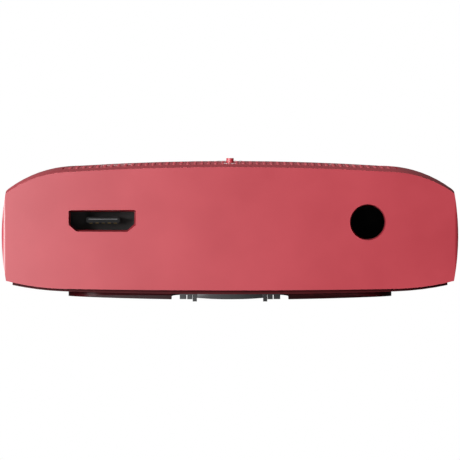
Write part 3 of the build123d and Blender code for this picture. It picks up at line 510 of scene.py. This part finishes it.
def ring_arc(x, y, radius, width, start, end, steps=14):
    """Outline of part of a ring, from start to end in degrees."""
    outer = [(x + (radius + width / 2) * math.cos(math.radians(start + (end - start) * k / steps)),
              y + (radius + width / 2) * math.sin(math.radians(start + (end - start) * k / steps)))
             for k in range(steps + 1)]
    inner = [(x + (radius - width / 2) * math.cos(math.radians(start + (end - start) * k / steps)),
              y + (radius - width / 2) * math.sin(math.radians(start + (end - start) * k / steps)))
             for k in range(steps, -1, -1)]
    return outer + inner


def build_key_icons():
    """Next, previous, menu and back on the four keys, and play or pause beside the tactile dot."""
    size = 1.7 * MM
    right, left = ICON_OUT, -ICON_OUT
    icon("icon_next", [triangle(right - 0.55 * size, PAD_Y, size, size * 1.15, 1),
                       triangle(right + 0.35 * size, PAD_Y, size, size * 1.15, 1),
                       bar(right + 0.98 * size, PAD_Y, 0.22 * size, size * 1.15)], "right", crown_height)
    icon("icon_previous", [triangle(left + 0.55 * size, PAD_Y, size, size * 1.15, -1),
                           triangle(left - 0.35 * size, PAD_Y, size, size * 1.15, -1),
                           bar(left - 0.98 * size, PAD_Y, 0.22 * size, size * 1.15)], "left", crown_height)
    up = PAD_Y + ICON_OUT
    icon("icon_menu", [bar(0, up + step * 0.85 * MM, 2.3 * MM, 0.34 * MM) for step in (-1, 0, 1)],
         "up", crown_height)
    down = PAD_Y - ICON_OUT
    icon("icon_back", [ring_arc(0.1 * MM, down, 0.85 * MM, 0.32 * MM, -150, 110),
                       triangle(-0.35 * MM, down + 0.84 * MM, 0.8 * MM, 1.1 * MM, -1)], "down", crown_height)
    low = PAD_Y - PLAY_ICON_DROP
    tall, stroke = 1.5 * MM, 0.36 * MM
    icon("icon_play", [triangle(-0.7 * MM, low, 1.3 * MM, tall, 1),
                       bar(0.55 * MM, low, stroke, tall),
                       bar(1.2 * MM, low, stroke, tall)], "play", disc_height)


build_key_icons()


# ------------------------------------------------------------------ display, side icons, socket plate
VIEW_HALF = (15.2 * MM, 8.8 * MM)
WINDOW_THICK = 0.95 * MM
INK_GAP = 0.03 * MM           # from the window's underside to the ink
BORDER_GAP = 0.3 * MM         # between the ink frame and the edge of the opening
BORDER_END = 1.4 * MM         # the long sides stop this far short of the opening's corners
BORDER_STEPS = 12             # pieces that follow the bow along each long side
GROUND_LIFT, TILE_LIFT, PRINT_LIFT = 0.02 * MM, 0.04 * MM, 0.06 * MM
PANEL_TOP_Z = 13.3 * MM
LIT_BLUE = lit_ink("lit_blue", (0.02, 0.10, 0.28), 0.5)
LIT_WHITE = lit_ink("lit_white", (0.75, 0.80, 0.85), 0.9)
LIT_RED = lit_ink("lit_red", (0.60, 0.04, 0.07), 0.8)


def under_window(x, y):
    """Height of the window's underside."""
    return crown_height(x, y) - WINDOW_THICK - INK_GAP


def on_panel(_x, _y):
    """Height of the display panel's face."""
    return PANEL_TOP_Z


def build_window_border():
    """Black ink frame printed on the underside of the window."""
    bm = bmesh.new()
    for way in (-1, 1):
        long_y = WINDOW_Y + way * (VIEW_HALF[1] + WINDOW_OPENING_HALF[1] - BORDER_GAP) / 2
        deep = WINDOW_OPENING_HALF[1] - BORDER_GAP - VIEW_HALF[1]
        width = 2 * (WINDOW_OPENING_HALF[0] - BORDER_END) / BORDER_STEPS
        for step in range(BORDER_STEPS):
            x = -WINDOW_OPENING_HALF[0] + BORDER_END + (step + 0.5) * width
            plate(bm, bar(x, long_y, width, deep), under_window)
        side_x = way * (VIEW_HALF[0] + WINDOW_OPENING_HALF[0] - BORDER_GAP) / 2
        plate(bm, bar(side_x, WINDOW_Y, WINDOW_OPENING_HALF[0] - BORDER_GAP - VIEW_HALF[0],
                      2 * VIEW_HALF[1]), under_window)
    mesh_object("window_border", bm, BLACK_INK, "housing", smooth=False)


def build_screen():
    """Generic playing screen: picture tile, title bars, progress line, level and battery marks."""
    def area(name, outlines, material, lift):
        bm = bmesh.new()
        for outline in outlines:
            plate(bm, outline, on_panel, lift=lift)
        mesh_object(name, bm, material, "housing", smooth=False)

    area("screen_ground", [bar(0, WINDOW_Y, 2 * VIEW_HALF[0] - 1 * MM, 2 * VIEW_HALF[1] - 1 * MM)],
         LIT_BLUE, GROUND_LIFT)
    tile_x, tile_size = -9.2 * MM, 7.6 * MM
    area("screen_tile", [bar(tile_x, WINDOW_Y + 0.6 * MM, tile_size, tile_size)], LIT_RED, TILE_LIFT)
    note = [bar(tile_x + 1.1 * MM, WINDOW_Y + 1.2 * MM, 0.5 * MM, 4.0 * MM),
            bar(tile_x - 1.1 * MM, WINDOW_Y + 0.6 * MM, 0.5 * MM, 4.0 * MM),
            bar(tile_x, WINDOW_Y + 2.9 * MM, 2.7 * MM, 0.7 * MM)]
    lines = [bar(4.4 * MM, WINDOW_Y + 3.2 * MM, 16.0 * MM, 1.1 * MM),
             bar(2.4 * MM, WINDOW_Y + 0.9 * MM, 12.0 * MM, 0.7 * MM),
             bar(0.9 * MM, WINDOW_Y - 1.1 * MM, 9.0 * MM, 0.7 * MM)]
    marks = [bar(12.6 * MM, WINDOW_Y + 6.9 * MM, 2.6 * MM, 1.2 * MM)]
    for step in range(4):
        middle, tall = (6.4 + 0.15 * step) * MM, (0.6 + 0.3 * step) * MM
        marks.append(bar((-13.0 + step) * MM, WINDOW_Y + middle, 0.6 * MM, tall))
    progress = [bar(-4.4 * MM, WINDOW_Y - 6.2 * MM, 17.0 * MM, 0.7 * MM)]
    area("screen_white", note + lines + marks + progress, LIT_WHITE, PRINT_LIFT)


def build_side_icons():
    """Plus and minus on the volume buttons."""
    def stand_up(outline, x_face, centre_y, centre_z):
        return [(x_face, centre_y + a, centre_z + b) for a, b in outline]

    face_x = -24.52 * MM
    size, stroke, thick = 1.5 * MM, 0.28 * MM, 0.08 * MM
    arm, arm_middle = 0.62 * MM, 0.46 * MM
    for name, body, key_y, has_upright in (("icon_plus", "volume_up", 13 * MM, True),
                                           ("icon_minus", "volume_down", 4 * MM, False)):
        outlines = [bar(0, 0, size, stroke)]
        if has_upright:
            outlines += [bar(0, way * arm_middle, stroke, arm) for way in (1, -1)]
        bm = bmesh.new()
        for outline in outlines:
            outside = [bm.verts.new(point) for point in stand_up(outline, face_x, key_y, SIDE_KEY_Z)]
            inside = [bm.verts.new((x + thick, y, z))
                      for x, y, z in stand_up(outline, face_x, key_y, SIDE_KEY_Z)]
            bm.faces.new(list(reversed(outside)))
            bm.faces.new(inside)
            for k in range(4):
                bm.faces.new((outside[k], outside[(k + 1) % 4], inside[(k + 1) % 4], inside[k]))
        mesh_object(name, bm, ICON_INK, body, smooth=False)


def build_tongue_plate():
    """Thin steel plate at the front of the USB tongue."""
    wide, deep, thick = 3.1 * MM, 0.16 * MM, 0.09 * MM
    aside, above = 0.08 * MM, 0.2 * MM         # of the socket's middle
    bm = bmesh.new()
    plate(bm, bar(USB_X + aside, TONGUE_FRONT_Y, wide, deep), lambda _x, _y: USB_Z + above, thick=thick)
    mesh_object("usb_tongue_plate", bm, MATERIALS["spring_steel"], "housing", smooth=False)


build_window_border()
build_screen()
build_side_icons()
build_tongue_plate()


# ------------------------------------------------------------------ camera, lights, stage
def build_camera():
    """Long lens, almost level with the player, straight at the end with the sockets."""
    camera = bpy.data.cameras.new("camera")
    obj = bpy.data.objects.new("camera", camera)
    bpy.context.collection.objects.link(obj)
    distance = 2.2                        # from the near end face
    height = 28.4 * MM
    near_y = -HALF_LENGTH
    obj.location = (0, near_y - distance, height)
    field = 49.46 * MM                    # width of the near end's plane that fills the picture
    camera.sensor_width = 36.0
    camera.lens = camera.sensor_width * distance / field
    target_z = 7.80 * MM
    obj.rotation_euler = (math.radians(90) - math.atan2(height - target_z, distance), 0, 0)
    camera.clip_start = 0.01
    camera.clip_end = 20.0
    bpy.context.scene.camera = obj


def area_light(name, location, target, size, power):
    """Soft rectangular light aimed at target."""
    light = bpy.data.lights.new(name, "AREA")
    light.shape = "RECTANGLE"
    light.size, light.size_y = size
    light.energy = power
    obj = bpy.data.objects.new(name, light)
    bpy.context.collection.objects.link(obj)
    obj.location = location
    direction = Vector(target) - Vector(location)
    obj.rotation_euler = direction.to_track_quat("-Z", "Y").to_euler()


def build_lights():
    """A soft light low at the front left, and a broad one high at the left."""
    middle = (0, 0, 8 * MM)
    area_light("key", (-0.60, -0.88, 0.18), middle, (0.50, 0.40), 13.4)
    area_light("top", (-0.80, 0.30, 0.98), middle, (1.3, 1.3), 12.0)


FLOOR_HALF = 6.0
FLOOR_DROP = 45 * MM          # a glass sheet's depth below the player
FLOOR_GREY = 0.10             # how much light the floor gives back
WORLD_LIGHT = 0.06            # strength of the world as a source of light
# painted reflection: greys of an emission across the floor from left to right, seen only by glossy rays
PAINTED_REFLECTION_FROM, PAINTED_REFLECTION_TO = -32 * MM, 8 * MM
PAINTED_REFLECTION_GREYS = ((0.0, 0.03), (0.15, 1.0), (0.5, 0.9), (0.64, 0.12), (1.0, 0.035))


def painted_floor_reflection(nodes, links):
    """What reflections show of the floor: a painted reflection, bright at the left and fading to the right,
    that stands in for light spill from the key light.
    """
    glow = nodes.new("ShaderNodeEmission")
    coords = nodes.new("ShaderNodeTexCoord")
    split = nodes.new("ShaderNodeSeparateXYZ")
    links.new(coords.outputs["Object"], split.inputs["Vector"])
    across = value_range(nodes, links, split.outputs["X"], 0.0, 1.0, PAINTED_REFLECTION_FROM, PAINTED_REFLECTION_TO)
    painted_grade = ramp(nodes, links, across, [(place, (grey, grey, grey)) for place, grey in PAINTED_REFLECTION_GREYS])
    links.new(painted_grade, glow.inputs["Color"])
    return glow.outputs["Emission"]


def floor_material():
    """White to the camera, dim as a source of light, and a painted graded reflection to glossy rays."""
    mat = bpy.data.materials.new("pale_floor")
    mat.use_nodes = True
    nodes, links = mat.node_tree.nodes, mat.node_tree.links
    nodes.clear()
    output = nodes.new("ShaderNodeOutputMaterial")
    seen = nodes.new("ShaderNodeEmission")
    seen.inputs["Color"].default_value = (1, 1, 1, 1)
    seen.inputs["Strength"].default_value = 1.0
    lit = nodes.new("ShaderNodeBsdfDiffuse")
    lit.inputs["Color"].default_value = (FLOOR_GREY, FLOOR_GREY, FLOOR_GREY, 1)
    path = nodes.new("ShaderNodeLightPath")
    reflected = nodes.new("ShaderNodeMixShader")
    links.new(path.outputs["Is Glossy Ray"], reflected.inputs["Fac"])
    links.new(lit.outputs["BSDF"], reflected.inputs[1])
    # glossy rays see the painted reflection, bright at the left, instead of the lit floor
    links.new(painted_floor_reflection(nodes, links), reflected.inputs[2])
    mix = nodes.new("ShaderNodeMixShader")
    links.new(path.outputs["Is Camera Ray"], mix.inputs["Fac"])
    links.new(reflected.outputs["Shader"], mix.inputs[1])
    links.new(seen.outputs["Emission"], mix.inputs[2])
    links.new(mix.outputs["Shader"], output.inputs["Surface"])
    return mat


def build_floor():
    """Wide flat floor below the player."""
    floor_mesh = bpy.data.meshes.new("floor")
    corners = [(-FLOOR_HALF, -FLOOR_HALF, 0), (FLOOR_HALF, -FLOOR_HALF, 0),
               (FLOOR_HALF, FLOOR_HALF, 0), (-FLOOR_HALF, FLOOR_HALF, 0)]
    floor_mesh.from_pydata(corners, [], [(0, 1, 2, 3)])
    floor_mesh.materials.append(floor_material())
    floor = bpy.data.objects.new("floor", floor_mesh)
    floor.location.z = cad_box[0][2] - FLOOR_DROP
    bpy.context.collection.objects.link(floor)


def build_world():
    """White world to the camera, dim as a source of light."""
    world = bpy.data.worlds.new("studio")
    bpy.context.scene.world = world
    world.use_nodes = True
    nodes, links = world.node_tree.nodes, world.node_tree.links
    background = nodes["Background"]
    path = nodes.new("ShaderNodeLightPath")
    level = value_range(nodes, links, path.outputs["Is Camera Ray"], WORLD_LIGHT, 1.0)
    background.inputs["Color"].default_value = (1, 1, 1, 1)
    links.new(level, background.inputs["Strength"])
    bpy.context.scene.view_settings.view_transform = "Standard"


build_camera()
build_lights()
build_floor()
build_world()
